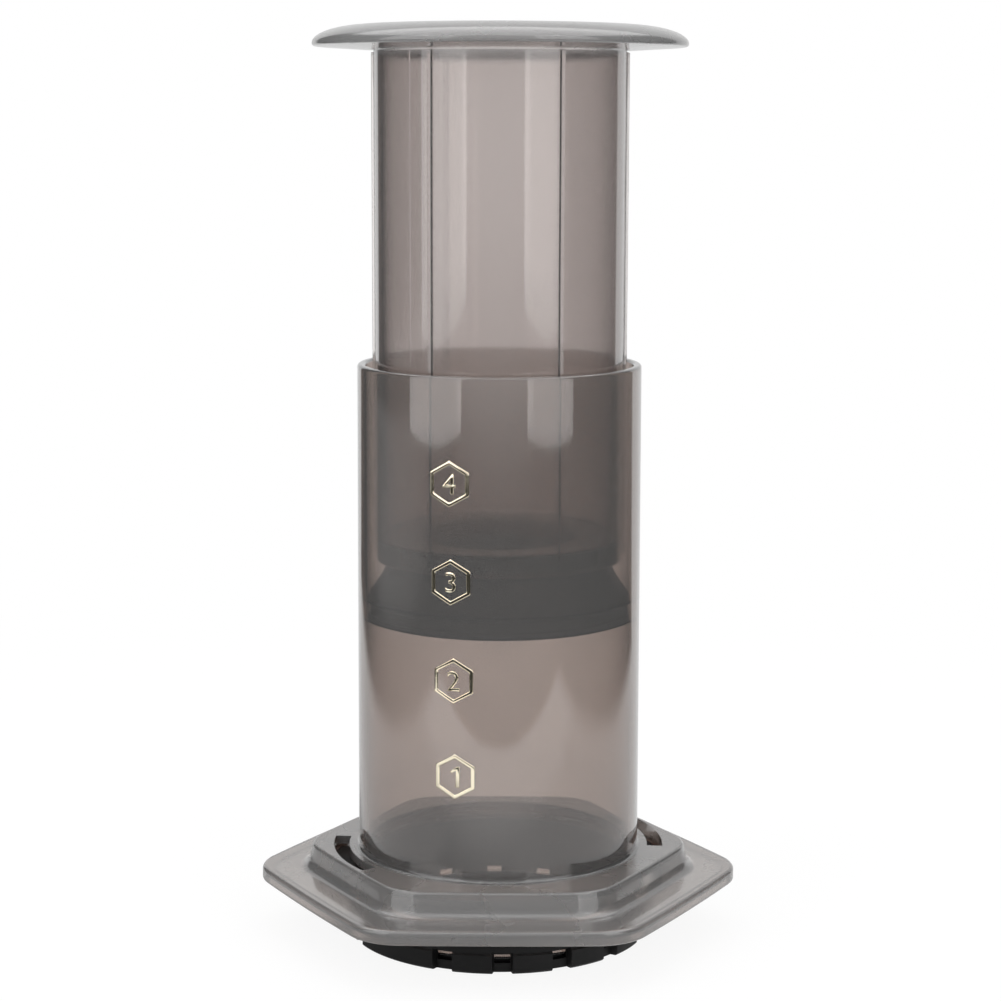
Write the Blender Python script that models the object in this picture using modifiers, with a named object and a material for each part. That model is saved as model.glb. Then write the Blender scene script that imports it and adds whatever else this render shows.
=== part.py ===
"""Hand-pressed coffee maker: a smoky plastic chamber on a six-sided flange, a ribbed
plunger with a rubber seal, and a perforated filter cap held by a bayonet.

Metres, +Z up. The origin is on the axis, at the level of the cap's foot, which is what
the maker stands on. The corners of the flange point along +X and -X.
"""
import math

import bmesh
import bpy
from mathutils import Matrix

MM = 0.001

# Fit and finish
seat_gap = 0.3 * MM          # between pieces that rest on or slide in each other
cut_overrun = 2.0 * MM       # how far a cutter runs past the face it cuts
weld_distance = 0.02 * MM
segments = 56                # facets round the turned pieces
round_steps = 3              # facets of a small rounded edge
sharp_angle = math.radians(35)

# Chamber
bore_radius = 30.4 * MM
chamber_wall = 1.9 * MM      # at the rim
chamber_draft = 0.25 * MM    # what the wall gains from the rim to the foot
chamber_length = 129.4 * MM
rim_round = 0.6 * MM
foot_fillet = 0.8 * MM       # where the wall meets the top of the step
neck_length = 16.9 * MM      # of the chamber below the top of the step

# Six-sided step above the bayonet, and the flange that lies on the mug
step_shoulder = 0.7 * MM     # side wall left beside the round pocket, at the top
step_draft = 0.5 * MM
step_height = 5.45 * MM      # above the flange
step_plate = 2.0 * MM
step_corner_radius = 13.0 * MM
step_bulge = 0.3 * MM
step_edge_round = 0.8 * MM
step_foot_fillet = 1.5 * MM  # where its sides meet the top of the flange
step_side_wall = 1.5 * MM
flange_overhang = 10.2 * MM  # of the flange's side beyond the step's
flange_corner_radius = 13.2 * MM
flange_bulge = 0.36 * MM     # how far the middle of a side stands out
flange_depth = 3.2 * MM      # at its rolled rim
flange_plate = 2.0 * MM
flange_edge_round = 0.9 * MM
flange_rim_width = 2.6 * MM

# Bayonet: slots in the step, hooks below them in the chamber, lugs on the cap
slot_inner_radius = 34.8 * MM
slot_width = 3.6 * MM
slot_start = math.radians(-5.7)
slot_span = math.radians(43.0)
slot_count = 2
hook_height = 1.9 * MM
hook_wall_gap = 0.3 * MM     # between the slot's outer side and the pocket under it
lug_start = math.radians(-14.0)
lug_span = math.radians(42.0)
lug_height = 2.5 * MM
lug_step = 0.2 * MM          # of a lug's top below the skirt's
stop_lead = math.radians(0.8)   # between a lug's end and its stop, when locked
stop_span = math.radians(3.0)

# Filter cap
cap_wall = 1.9 * MM
cap_plate = 1.6 * MM
cap_plate_raise = 0.8 * MM
cap_foot_width = 3.2 * MM
cap_grip_proud = 0.4 * MM    # of the grips beyond the band above them
cap_grip_height = 4.6 * MM
cap_chamfer = 0.5 * MM
notch_width = 4.3 * MM
notch_depth = 1.8 * MM
notch_pitch = math.radians(22.5)
notch_phase = math.radians(1.7)
wide_grips = (10, 2)         # notches left out, counted from the phase
window_width = 3.6 * MM
window_sill_drop = 0.35 * MM  # how far a window's foot lies below the plate's top
window_lintel = 0.5 * MM
hole_radius = 1.5 * MM
hole_pitch = 6.4 * MM
hole_rings = 4
hole_sides = 6

# Filter disc
filter_thickness = 0.3 * MM
filter_edge_gap = 0.5 * MM

# Seal
seal_level = 74.5 * MM       # underside of the seal above the cap's foot, at rest
seal_height = 13.2 * MM
seal_body_radius = 26.1 * MM
seal_base = 3.5 * MM         # rubber below the plunger's knob
seal_band_height = 5.7 * MM  # of the band that holds the two lips
seal_flare_height = 6.0 * MM
seal_flare_power = 1.3
lip_height = 1.2 * MM
lip_proud = 0.5 * MM
seal_round = 1.5 * MM

# Plunger
plunger_wall = 1.9 * MM
plunger_gap = 1.5 * MM       # between the ribs and the bore
plunger_tube_length = 114.7 * MM
plunger_floor = 4.4 * MM
plunger_foot_round = 0.6 * MM
rib_count = 6
rib_height = 0.7 * MM
rib_width = 1.0 * MM
stem_radius = 19.5 * MM
stem_wall = 2.0 * MM
knob_radius = 22.4 * MM
knob_height = 3.4 * MM
disc_radius = 42.0 * MM
disc_lip_round = 0.65 * MM
disc_crown = 4.05 * MM       # crest of the disc above its widest level
disc_flat_radius = 29.5 * MM
disc_mouth_round = 2.4 * MM
disc_dish = 0.75 * MM        # fall of the underside from its rim to the tube

# Levels, from the cap's foot up
plate_top = cap_plate_raise + cap_plate
filter_low = plate_top + seat_gap
filter_high = filter_low + filter_thickness
chamber_low = filter_high + seat_gap
step_top = chamber_low + neck_length
rim_level = chamber_low + chamber_length
step_ceiling = step_top - step_plate
flange_top = step_top - step_height
flange_low = flange_top - flange_depth
hook_top = flange_low + hook_height
lug_low = hook_top + seat_gap
lug_high = lug_low + lug_height
seal_top = seal_level + seal_height
knob_low = seal_level + seal_base + seat_gap
knob_high = knob_low + knob_height
tube_low = seal_top + seat_gap
disc_low = tube_low + plunger_tube_length

# Radii
rim_radius = bore_radius + chamber_wall
foot_radius = rim_radius + chamber_draft
slot_outer_radius = slot_inner_radius + slot_width
pocket_radius = slot_outer_radius + hook_wall_gap
step_half_width = pocket_radius + step_shoulder      # axis to the middle of a side
flange_half_width = step_half_width + flange_overhang
hook_inner_radius = foot_radius + seat_gap + cap_wall + seat_gap
cap_bore = foot_radius + seat_gap
band_radius = cap_bore + cap_wall
grip_radius = band_radius + cap_grip_proud
cap_foot_inner = band_radius - cap_foot_width
notch_floor = grip_radius - notch_depth
rib_radius = bore_radius - plunger_gap
tube_radius = rib_radius - rib_height
tube_bore = tube_radius - plunger_wall
seal_radius = bore_radius - seat_gap
filter_radius = cap_bore - filter_edge_gap

# Materials: colour, roughness, metallic, transmission
SMOKE = (0.36, 0.32, 0.29, 1.0)
FINISHES = {
    "smoky_plastic": (SMOKE, 0.12, 0.0, 0.75),
    "black_plastic": ((0.012, 0.012, 0.013, 1.0), 0.38, 0.0, 0.0),
    "black_rubber": ((0.02, 0.02, 0.021, 1.0), 0.55, 0.0, 0.0),
    "steel_mesh": ((0.33, 0.33, 0.34, 1.0), 0.4, 0.9, 0.0),
}


def material(name):
    """A Principled material with this finish's colour, roughness and clarity."""
    if name in bpy.data.materials:
        return bpy.data.materials[name]
    colour, roughness, metallic, transmission = FINISHES[name]
    mat = bpy.data.materials.new(name)
    mat.use_nodes = True
    shader = mat.node_tree.nodes["Principled BSDF"]
    shader.inputs["Base Color"].default_value = colour
    shader.inputs["Roughness"].default_value = roughness
    shader.inputs["Metallic"].default_value = metallic
    shader.inputs["Transmission Weight"].default_value = transmission
    return mat


def clear_scene():
    for obj in list(bpy.data.objects):
        bpy.data.objects.remove(obj, do_unlink=True)


def new_collection(name):
    collection = bpy.data.collections.new(name)
    bpy.context.scene.collection.children.link(collection)
    return collection


def arc(centre, radius, start, end, count):
    """Points along an arc, both ends included."""
    points = []
    for step in range(count + 1):
        angle = start + (end - start) * step / count
        points.append((centre[0] + radius * math.cos(angle),
                       centre[1] + radius * math.sin(angle)))
    return points


def rounded_hexagon(half_width, corner_radius, bulge, corner_steps=5, side_steps=4):
    """Outline of a six-sided plate: corners on +X and -X, rounded, sides bowed out.

    A bowed side ends with a small slope, and the corner's arc starts with the same one.
    """
    sharp = half_width / math.cos(math.pi / 6)
    centre_distance = sharp - corner_radius / math.cos(math.pi / 6)
    half_side = sharp / 2 - corner_radius * math.tan(math.pi / 6)
    slope = math.atan(2 * bulge / half_side)
    half_bow = half_side + corner_radius * math.sin(slope)
    bow_ends = half_width - corner_radius * (1 - math.cos(slope))
    half_arc = math.pi / 6 - slope
    points = []
    for side in range(6):
        corner_angle = side * math.pi / 3
        centre = (centre_distance * math.cos(corner_angle),
                  centre_distance * math.sin(corner_angle))
        points += arc(centre, corner_radius, corner_angle - half_arc,
                      corner_angle + half_arc, corner_steps)
        middle = corner_angle + math.pi / 6
        for step in range(1, side_steps):
            share = 2 * step / side_steps - 1
            out = bow_ends + half_bow * math.tan(slope) / 2 * (1 - share * share)
            along = half_bow * share
            points.append((out * math.cos(middle) - along * math.sin(middle),
                           out * math.sin(middle) + along * math.cos(middle)))
    return points


def hexagon_reach(angle, half_width, corner_radius):
    """Distance from the axis to the outline of a rounded hexagon, at an angle."""
    turn = (angle + math.pi / 6) % (math.pi / 3) - math.pi / 6
    from_middle = math.pi / 6 - abs(turn)
    sharp = half_width / math.cos(math.pi / 6)
    half_side = sharp / 2 - corner_radius * math.tan(math.pi / 6)
    if half_width * math.tan(from_middle) < half_side:
        return half_width / math.cos(from_middle)
    centre_distance = sharp - corner_radius / math.cos(math.pi / 6)
    offset = centre_distance * math.sin(turn)
    return centre_distance * math.cos(turn) + math.sqrt(corner_radius ** 2 - offset ** 2)


def arc_band(inner, outer, start, span, steps=8):
    """Outline of a piece of a ring."""
    there = arc((0.0, 0.0), outer, start, start + span, steps)
    back = arc((0.0, 0.0), inner, start + span, start, steps)
    return there + back


def mesh_from_curve(name, curve, level, collection):
    """Turns a filled curve into a welded mesh object whose middle lies at a level."""
    holder = bpy.data.objects.new(name + "_outline", curve)
    bpy.context.scene.collection.objects.link(holder)
    holder.location.z = level
    bpy.context.view_layer.update()
    evaluated = holder.evaluated_get(bpy.context.evaluated_depsgraph_get())
    mesh = bpy.data.meshes.new_from_object(evaluated)
    mesh.transform(holder.matrix_world)
    bpy.data.objects.remove(holder, do_unlink=True)
    bpy.data.curves.remove(curve)
    welded = bmesh.new()
    welded.from_mesh(mesh)
    bmesh.ops.remove_doubles(welded, verts=welded.verts, dist=weld_distance)
    bmesh.ops.recalc_face_normals(welded, faces=welded.faces)
    welded.to_mesh(mesh)
    welded.free()
    obj = bpy.data.objects.new(name, mesh)
    collection.objects.link(obj)
    return obj


def plate(name, outlines, low, high, collection, edge_round=0.0):
    """A flat plate with one or more outlines, from low to high, its edges rounded."""
    curve = bpy.data.curves.new(name, "CURVE")
    curve.dimensions = "2D"
    curve.fill_mode = "BOTH"
    curve.extrude = (high - low) / 2 - edge_round
    curve.bevel_depth = edge_round
    curve.offset = -edge_round
    curve.bevel_resolution = 1
    for outline in outlines:
        spline = curve.splines.new("POLY")
        spline.points.add(len(outline) - 1)
        for point, (x, y) in zip(spline.points, outline):
            point.co = (x, y, 0.0, 1.0)
        spline.use_cyclic_u = True
    return mesh_from_curve(name, curve, (low + high) / 2, collection)


def turned(name, profile, collection, closed):
    """A solid of revolution. The profile runs down its outer side, top to bottom."""
    mesh = bpy.data.meshes.new(name)
    edges = [(step, step + 1) for step in range(len(profile) - 1)]
    if closed:
        edges.append((len(profile) - 1, 0))
    mesh.from_pydata([(radius, 0.0, level) for radius, level in profile], edges, [])
    obj = bpy.data.objects.new(name, mesh)
    collection.objects.link(obj)
    screw = obj.modifiers.new("turn", "SCREW")
    screw.steps = segments
    screw.render_steps = segments
    screw.use_merge_vertices = True
    screw.merge_threshold = weld_distance
    screw.use_smooth_shade = True
    screw.use_normal_calculate = False
    return obj


def round_cutter(name, radius, low, high, collection):
    """A plain cylinder to cut with."""
    profile = [(0.0, high), (radius, high), (radius, low), (0.0, low)]
    return turned(name, profile, collection, closed=False)


def combine(target, tool, operation, solver="EXACT"):
    """Joins or cuts with a Boolean. MANIFOLD is for the many-sided plates of the base."""
    change = target.modifiers.new(tool.name, "BOOLEAN")
    change.operation = operation
    change.solver = solver
    change.object = tool
    tool.hide_render = True
    tool.display_type = "WIRE"


def finish(obj, finish_name):
    obj.data.materials.clear()
    obj.data.materials.append(material(finish_name))
    obj.data.shade_smooth()
    obj.data.set_sharp_from_angle(angle=sharp_angle)


def chamber_tube(name, collection):
    """The long wall of the chamber, from the neck inside the cap up to the rim."""
    quarter = math.pi / 2
    buried = step_top - step_plate / 2
    profile = arc((bore_radius + rim_round, rim_level - rim_round), rim_round,
                  2 * quarter, quarter, round_steps)
    profile += arc((rim_radius - rim_round, rim_level - rim_round), rim_round,
                   quarter, 0.0, round_steps)
    profile += arc((foot_radius + foot_fillet, step_top + foot_fillet - weld_distance),
                   foot_fillet, 2 * quarter, 3 * quarter, round_steps)
    profile += [
        (foot_radius + foot_fillet, buried),
        (foot_radius, buried),
        (foot_radius, chamber_low),
        (bore_radius, chamber_low),
    ]
    return turned(name, profile, collection, closed=True)


def wall_band(inner, start, span, steps=10):
    """Outline of a piece that stands in from the step's side wall, over a span."""
    half_width = step_half_width + step_draft - step_side_wall / 2
    corner_radius = step_corner_radius - step_side_wall / 2
    outline = []
    for step in range(steps + 1):
        angle = start + span * step / steps
        reach = hexagon_reach(angle, half_width, corner_radius)
        outline.append((reach * math.cos(angle), reach * math.sin(angle)))
    return outline + arc((0.0, 0.0), inner, start + span, start, steps)


def step_reach(level):
    """Half width of the step at a level: its sides lean out a little downwards."""
    below = (step_top - step_edge_round - level) / step_height
    return step_half_width + step_draft * min(max(below, 0.0), 1.0)


def fillet_ring(name, collection):
    """The hollow round between the step's sides and the flange, as a solid to join."""
    quarter = math.pi / 2
    fillet_top = flange_top + step_foot_fillet
    foot = step_reach(fillet_top)
    curve = arc((foot + step_foot_fillet, fillet_top), step_foot_fillet,
                2 * quarter, 3 * quarter, round_steps)
    curve.append((foot + step_foot_fillet, flange_top - flange_plate / 2))
    body = bmesh.new()
    rings = []
    for reach, level in curve:
        corner_radius = step_corner_radius + reach - step_half_width
        rings.append([body.verts.new((x, y, level)) for x, y
                      in rounded_hexagon(reach, corner_radius, step_bulge)])
    body.faces.new(rings[0])
    body.faces.new(rings[-1])
    for upper, lower in zip(rings, rings[1:]):
        for index in range(len(upper)):
            body.faces.new((upper[index - 1], upper[index], lower[index], lower[index - 1]))
    bmesh.ops.recalc_face_normals(body, faces=body.faces)
    mesh = bpy.data.meshes.new(name)
    body.to_mesh(mesh)
    body.free()
    obj = bpy.data.objects.new(name, mesh)
    collection.objects.link(obj)
    return obj


def make_base(cutters):
    """Step, flange, slots, hooks and stops, with the bore left open for the wall."""
    flange_outline = rounded_hexagon(flange_half_width, flange_corner_radius, flange_bulge)
    step_outline = rounded_hexagon(step_half_width, step_corner_radius, step_bulge)
    base = plate("base", [flange_outline], flange_low, flange_top, cutters,
                 flange_edge_round)
    step = plate("step", [step_outline], flange_top - flange_plate / 2, step_top, cutters,
                 step_edge_round)
    for vertex in step.data.vertices:
        grow = step_reach(vertex.co.z) / step_half_width
        vertex.co.x *= grow
        vertex.co.y *= grow
    step_foot = fillet_ring("step_foot", cutters)

    pocket_outline = rounded_hexagon(step_half_width - step_side_wall,
                                     step_corner_radius - step_side_wall, step_bulge)
    pocket_corners = plate("pocket_corners", [pocket_outline],
                           flange_low - cut_overrun, step_ceiling, cutters)
    pocket_round = round_cutter("pocket_round", pocket_radius,
                                flange_low - cut_overrun, step_ceiling, cutters)
    bore = round_cutter("bore", bore_radius + chamber_wall / 2,
                        flange_low - cut_overrun, step_top + cut_overrun, cutters)
    trough_outline = rounded_hexagon(flange_half_width - flange_rim_width,
                                     flange_corner_radius - flange_rim_width, flange_bulge)
    trough = plate("trough", [trough_outline, step_outline],
                   flange_low - cut_overrun, flange_top - flange_plate, cutters)
    slot_outlines = []
    hook_outlines = []
    stop_outlines = []
    for index in range(slot_count):
        turn = index * 2 * math.pi / slot_count
        slot_outlines.append(arc_band(slot_inner_radius, slot_outer_radius,
                                      slot_start + turn, slot_span))
        hook_outlines.append(wall_band(hook_inner_radius, slot_start + turn, slot_span))
        stop_outlines.append(wall_band(hook_inner_radius + seat_gap,
                                       lug_start + lug_span + stop_lead + turn, stop_span))
    slots = plate("slots", slot_outlines, step_ceiling - seat_gap,
                  step_top + cut_overrun, cutters)
    hooks = plate("hooks", hook_outlines, flange_low + seat_gap, hook_top, cutters)
    stops = plate("stops", stop_outlines, hook_top - hook_height / 2, lug_high, cutters)

    combine(base, step, "UNION", "MANIFOLD")
    combine(base, step_foot, "UNION", "MANIFOLD")
    for cutter in (pocket_corners, pocket_round, trough, slots):
        combine(base, cutter, "DIFFERENCE", "MANIFOLD")
    combine(base, hooks, "UNION", "MANIFOLD")
    combine(base, stops, "UNION", "MANIFOLD")
    combine(base, bore, "DIFFERENCE", "MANIFOLD")
    return base


def make_chamber(parts, cutters):
    """Chamber, step, flange and bayonet ring: one moulding."""
    chamber = chamber_tube("chamber", parts)
    combine(chamber, make_base(cutters), "UNION", "MANIFOLD")
    finish(chamber, "smoky_plastic")
    return chamber


def hole_centres():
    """One hole on the axis and rings of six, twelve, eighteen and so on about it."""
    centres = [(0.0, 0.0)]
    for ring in range(1, hole_rings + 1):
        for index in range(6 * ring):
            angle = index * math.pi / (3 * ring)
            centres.append((ring * hole_pitch * math.cos(angle),
                            ring * hole_pitch * math.sin(angle)))
    return centres


def hole_cutter(name, collection):
    holes = bmesh.new()
    height = cap_plate + 2 * cut_overrun
    middle = (cap_plate_raise + plate_top) / 2
    for x, y in hole_centres():
        bmesh.ops.create_cone(holes, cap_ends=True, segments=hole_sides,
                              radius1=hole_radius, radius2=hole_radius, depth=height,
                              matrix=Matrix.Translation((x, y, middle)))
    mesh = bpy.data.meshes.new(name)
    holes.to_mesh(mesh)
    holes.free()
    obj = bpy.data.objects.new(name, mesh)
    collection.objects.link(obj)
    return obj


def box_outline(inner, outer, width, angle):
    """A rectangle that lies along a radius at an angle."""
    outline = []
    for radius, side in ((inner, -width / 2), (outer, -width / 2),
                         (outer, width / 2), (inner, width / 2)):
        outline.append((radius * math.cos(angle) - side * math.sin(angle),
                        radius * math.sin(angle) + side * math.cos(angle)))
    return outline


def notch_angles():
    count = round(2 * math.pi / notch_pitch)
    return [notch_phase + index * notch_pitch for index in range(count)
            if index not in wide_grips]


def make_filter_cap(parts, cutters):
    """Perforated plate in a skirt, with finger grips below and two lugs above."""
    profile = [
        (cap_bore, lug_high),
        (band_radius, lug_high),
        (band_radius, cap_grip_height + cap_grip_proud),
        (grip_radius, cap_grip_height),
        (grip_radius, cap_chamfer),
        (grip_radius - cap_chamfer, 0.0),
        (cap_foot_inner, 0.0),
        (cap_foot_inner, cap_plate_raise),
        (0.0, cap_plate_raise),
        (0.0, plate_top),
        (cap_bore, plate_top),
    ]
    cap = turned("filter_cap", profile, parts, closed=True)
    lug_outlines = [arc_band(cap_bore + cap_wall / 2, pocket_radius - seat_gap,
                             lug_start + index * 2 * math.pi / slot_count, lug_span)
                    for index in range(slot_count)]
    lugs = plate("lugs", lug_outlines, lug_low, lug_high - lug_step, cutters)
    notch_outlines = []
    window_outlines = []
    for angle in notch_angles():
        notch_outlines.append(box_outline(notch_floor, grip_radius + cut_overrun,
                                          notch_width, angle))
        window_outlines.append(box_outline(cap_foot_inner, grip_radius, window_width, angle))
    notches = plate("notches", notch_outlines, -cut_overrun, cap_grip_height, cutters)
    windows = plate("windows", window_outlines, plate_top - window_sill_drop,
                    cap_grip_height - window_lintel, cutters)
    combine(cap, lugs, "UNION")
    combine(cap, notches, "DIFFERENCE")
    combine(cap, windows, "DIFFERENCE")
    combine(cap, hole_cutter("holes", cutters), "DIFFERENCE")
    finish(cap, "black_plastic")
    return cap


def make_filter_disc(parts):
    """Fine steel mesh, drawn as the plain thin disc that it lies as on the cap's plate."""
    profile = [(0.0, filter_high), (filter_radius, filter_high),
               (filter_radius, filter_low), (0.0, filter_low)]
    disc = turned("filter_disc", profile, parts, closed=False)
    finish(disc, "steel_mesh")
    return disc


def make_seal(parts):
    """Rubber plug with two sealing lips, snapped over the plunger's knob."""
    quarter = math.pi / 2
    mouth = stem_radius + seat_gap
    cavity = knob_radius + seat_gap
    band_top = seal_level + seal_band_height
    groove = seal_radius - lip_proud
    profile = [(mouth, seal_top)]
    profile += arc((seal_body_radius - seal_round, seal_top - seal_round), seal_round,
                   quarter, 0.0, round_steps)
    flare_steps = 4
    for step in range(flare_steps + 1):
        share = step / flare_steps
        flare = (seal_radius - seal_body_radius) * share ** seal_flare_power
        profile.append((seal_body_radius + flare,
                        band_top + seal_flare_height * (1 - share)))
    profile += [
        (seal_radius, band_top - lip_height),
        (groove, band_top - lip_height - lip_proud),
        (groove, seal_level + lip_height + lip_proud),
        (seal_radius, seal_level + lip_height),
        (seal_radius - lip_proud, seal_level),
        (0.0, seal_level),
        (0.0, seal_level + seal_base),
        (cavity, seal_level + seal_base),
        (cavity, knob_high + seat_gap),
        (mouth, knob_high + cavity - mouth + seat_gap),
    ]
    seal = turned("seal", profile, parts, closed=True)
    finish(seal, "black_rubber")
    return seal


def disc_profile():
    """The disc's section, from the mouth of the bore over the crest to the underside."""
    quarter = math.pi / 2
    widest = disc_low + disc_dish + disc_lip_round
    crest = widest + disc_crown
    profile = arc((tube_bore + disc_mouth_round, crest - disc_mouth_round),
                  disc_mouth_round, 2 * quarter, quarter, 2 * round_steps)
    dome_steps = 8
    for step in range(dome_steps + 1):
        turn = quarter * step / dome_steps
        profile.append((disc_flat_radius + (disc_radius - disc_flat_radius) * math.sin(turn),
                        widest + disc_crown * math.cos(turn)))
    profile += arc((disc_radius - disc_lip_round, widest), disc_lip_round,
                   0.0, -quarter, round_steps)[1:]
    return profile


def make_plunger(parts, cutters):
    """Open tube with a broad domed disc, six ribs and a knob that carries the seal."""
    quarter = math.pi / 2
    floor = tube_low + plunger_floor
    well = knob_low + stem_wall
    well_radius = stem_radius - stem_wall
    profile = disc_profile()
    profile.append((tube_radius, disc_low))
    profile += arc((tube_radius - plunger_foot_round, tube_low + plunger_foot_round),
                   plunger_foot_round, 0.0, -quarter, round_steps)
    profile += [
        (stem_radius, tube_low),
        (stem_radius, knob_high + knob_radius - stem_radius),
        (knob_radius, knob_high),
        (knob_radius, knob_low),
        (0.0, knob_low),
        (0.0, well),
        (well_radius, well),
        (well_radius, floor),
        (tube_bore, floor),
    ]
    plunger = turned("plunger", profile, parts, closed=True)
    rib_outlines = [box_outline(tube_radius - plunger_wall / 2, rib_radius, rib_width,
                                index * 2 * math.pi / rib_count)
                    for index in range(rib_count)]
    ribs = plate("ribs", rib_outlines, tube_low + plunger_foot_round,
                 disc_low + disc_dish, cutters)
    combine(plunger, ribs, "UNION")
    finish(plunger, "smoky_plastic")
    return plunger


def build():
    clear_scene()
    parts = new_collection("manual_coffee_press")
    cutters = new_collection("cutters")
    make_filter_cap(parts, cutters)
    make_filter_disc(parts)
    make_chamber(parts, cutters)
    make_seal(parts)
    make_plunger(parts, cutters)
    for tool in cutters.objects:
        tool.hide_render = True
        tool.display_type = "WIRE"


build()
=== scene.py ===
# %% [markdown]
# # A hand-pressed coffee maker, dressed around its working model
# The real thing is five loose pieces: a clear smoky tube on a six-sided flange, a ribbed
# plunger, a rubber plug, a black cap full of holes and a disc of steel mesh. Another script
# holds the working solids, and this one gives each of them its fine surface. We start by
# loading those solids as a fixed frame, and everything below is placed from what they measure.

import math

import bmesh
import bpy
from mathutils import Matrix, Vector


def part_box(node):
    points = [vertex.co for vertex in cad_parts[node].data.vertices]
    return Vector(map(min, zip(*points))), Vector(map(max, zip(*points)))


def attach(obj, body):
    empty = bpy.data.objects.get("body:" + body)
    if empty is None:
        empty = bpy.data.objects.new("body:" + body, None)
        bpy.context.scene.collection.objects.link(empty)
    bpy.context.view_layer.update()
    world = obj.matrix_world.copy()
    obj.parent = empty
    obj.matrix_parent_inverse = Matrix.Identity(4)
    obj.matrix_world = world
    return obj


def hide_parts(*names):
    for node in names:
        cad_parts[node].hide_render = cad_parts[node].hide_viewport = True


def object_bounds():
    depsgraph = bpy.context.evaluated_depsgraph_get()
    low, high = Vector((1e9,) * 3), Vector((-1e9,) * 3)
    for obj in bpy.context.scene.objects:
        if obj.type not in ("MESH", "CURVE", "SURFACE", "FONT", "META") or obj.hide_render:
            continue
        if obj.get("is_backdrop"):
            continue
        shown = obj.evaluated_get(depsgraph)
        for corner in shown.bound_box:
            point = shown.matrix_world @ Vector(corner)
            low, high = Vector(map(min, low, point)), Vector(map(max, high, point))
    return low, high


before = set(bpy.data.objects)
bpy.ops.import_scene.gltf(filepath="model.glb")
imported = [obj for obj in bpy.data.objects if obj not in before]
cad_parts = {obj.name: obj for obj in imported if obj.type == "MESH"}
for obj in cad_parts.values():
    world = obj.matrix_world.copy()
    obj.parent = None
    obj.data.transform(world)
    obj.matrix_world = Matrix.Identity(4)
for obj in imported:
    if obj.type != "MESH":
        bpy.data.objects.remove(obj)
cad_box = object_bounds()
MM = 0.001
print("the working model spans", [[round(value, 4) for value in corner] for corner in cad_box])

# %% [markdown]
# The camera stands where the photographer stood: a little over half a metre away, almost
# level with the plunger's disc, and tipped down by about nine degrees. We build its rotation
# from the three directions that a camera has, right, up and back, because that states the
# tilt and the slight lean directly, without guessing at Euler angles.

# %% Camera
camera_distance = 557.97 * MM
camera_height = 188.92 * MM
camera_pitch = math.radians(8.955)
camera_yaw = math.radians(0.033)
camera_roll = math.radians(0.161)
focal_pixels = 2460.5
photo_pixels = 1001
sensor_width = 36.0


def link(name, data):
    """A new object in the scene's collection."""
    obj = bpy.data.objects.new(name, data)
    bpy.context.scene.collection.objects.link(obj)
    return obj


def make_camera():
    """A camera with the photograph's place, tilt and field of view."""
    data = bpy.data.cameras.new("camera")
    data.sensor_fit = "HORIZONTAL"
    data.sensor_width = sensor_width
    data.lens = sensor_width * focal_pixels / photo_pixels
    data.clip_start = 10 * MM
    level = Vector((math.cos(camera_yaw), -math.sin(camera_yaw), 0.0))
    forward = Vector((math.sin(camera_yaw) * math.cos(camera_pitch),
                      math.cos(camera_yaw) * math.cos(camera_pitch),
                      -math.sin(camera_pitch)))
    upright = level.cross(forward)
    right = level * math.cos(camera_roll) + upright * math.sin(camera_roll)
    up = upright * math.cos(camera_roll) - level * math.sin(camera_roll)
    turn = Matrix((right, up, -forward)).transposed().to_4x4()
    camera = link("camera", data)
    camera.matrix_world = Matrix.Translation((0.0, -camera_distance, camera_height)) @ turn
    bpy.context.scene.camera = camera
    print("camera lens", round(data.lens, 2), "mm")


make_camera()

# %% [markdown]
# Before any shape, the sizes. Changing the solids then changes this script's pieces with
# them. Here stand the sizes that several pieces share, and each piece's own sizes stand
# with it.

# %% Sizes
chamber_low, chamber_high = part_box("chamber")
plunger_low, plunger_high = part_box("plunger")
seal_low, seal_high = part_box("seal")
cap_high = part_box("filter_cap")[1]
mesh_low, mesh_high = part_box("filter_disc")

gap = 0.3 * MM
bore_radius = 30.4 * MM
wall = 1.9 * MM
draft = 0.25 * MM
rim_level = chamber_high.z
tube_foot = chamber_low.z
rim_radius = bore_radius + wall
foot_radius = rim_radius + draft
step_top = tube_foot + 16.9 * MM
step_plate = 2.0 * MM
flange_top = step_top - 5.45 * MM
flange_low = flange_top - 3.2 * MM
cap_bore = foot_radius + gap
band_radius = cap_bore + wall
rib_reach = bore_radius - 1.5 * MM
overrun = 2.0 * MM
quarter = math.pi / 2
sixth = math.pi / 3
twelfth = math.pi / 6
print("rim at", round(rim_level / MM, 1), "mm, crest at", round(plunger_high.z / MM, 1), "mm")

# %% [markdown]
# Nearly every piece here is turned: one profile spun about the axis. A screw modifier does
# that, but the plunger's ribs and the cap's grips also want the radius to swell and shrink on
# the way round. So we spin the profile ourselves: each ring is a loop of points, and a small
# function may push a point out or in by its angle. Rings closer together make rounder edges.

# %% Turning helpers
ring_steps = 288


def arc(centre, radius, start, end, count):
    """Points along an arc, both ends included."""
    return [(centre[0] + radius * math.cos(start + (end - start) * step / count),
             centre[1] + radius * math.sin(start + (end - start) * step / count))
            for step in range(count + 1)]


def rounded(x, z, radius, start, end, count):
    """An arc that rounds off a profile's corner at (x, z); its angles say which way it is."""
    middle = (start + end) / 2
    centre = (x - math.copysign(radius, math.cos(middle)),
              z - math.copysign(radius, math.sin(middle)))
    return arc(centre, radius, start, end, count)


def around(angle, out, aside=0.0):
    """The point that lies so far out, and so far aside, in a direction from the axis."""
    return (out * math.cos(angle) - aside * math.sin(angle),
            out * math.sin(angle) + aside * math.cos(angle))


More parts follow.
